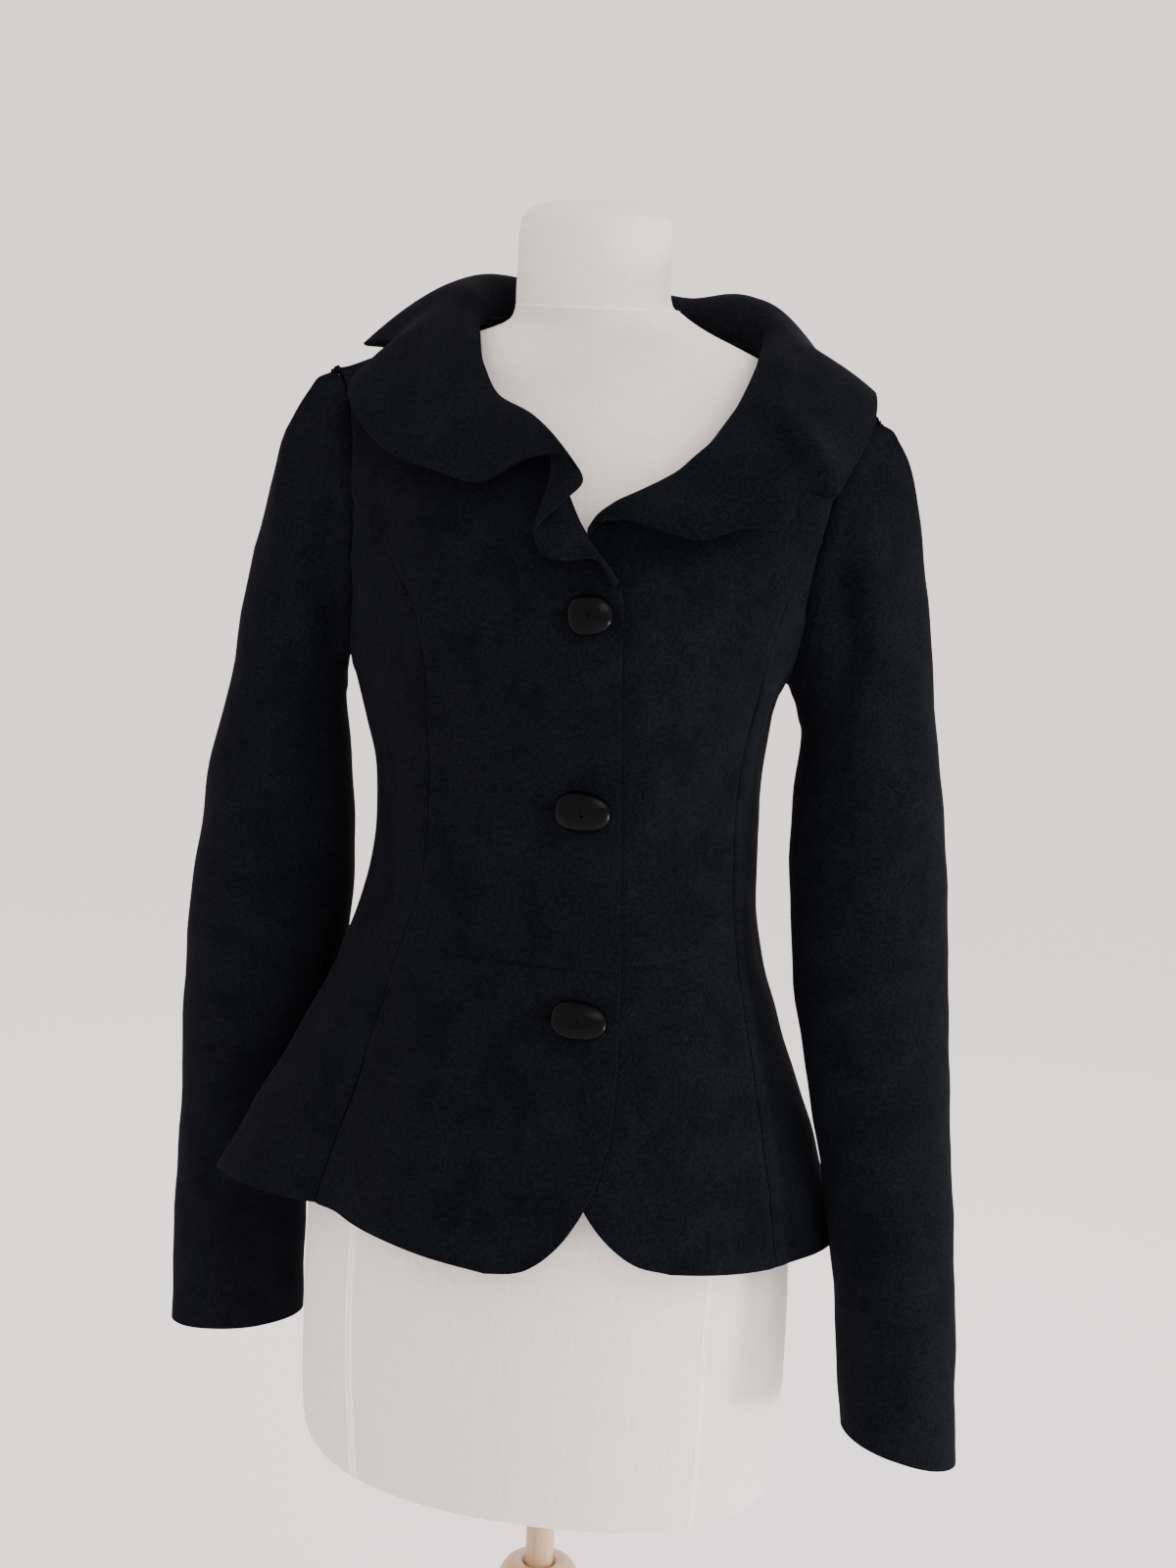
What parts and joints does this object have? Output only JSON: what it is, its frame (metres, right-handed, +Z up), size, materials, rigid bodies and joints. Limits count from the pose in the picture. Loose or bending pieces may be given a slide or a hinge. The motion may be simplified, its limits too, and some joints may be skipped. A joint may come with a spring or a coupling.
{
  "type": "fitted jacket on a dress form",
  "caption": "Fitted felted wool jacket with a ruffled collar and flared hem, buttoned on a limbless linen dress form with a turned wood stand.",
  "frame": {"origin": "centre of the stand's underside, on the floor under the form's neck", "axes": "+Z up, the jacket's front faces -Y, +X is the wearer's left"},
  "size_m": [0.542, 0.376, 1.47],
  "materials": {
    "wool": "matte felted wool",
    "buttons": "high gloss",
    "linen": "plain woven linen",
    "wood": "satin clear varnish"
  },
  "bodies": {
    "root": {"front_right": "wool", "front_left": "wool", "side_front_right": "wool", "side_front_left": "wool", "side_back_right": "wool", "side_back_left": "wool", "back_right": "wool", "back_left": "wool", "sleeve_right": "wool", "sleeve_left": "wool", "collar": "wool", "button_top": "buttons", "button_middle": "buttons", "button_bottom": "buttons", "form": "linen", "pole": "wood", "hub": "wood", "column": "wood", "base": "wood"}
  },
  "joints": []
}
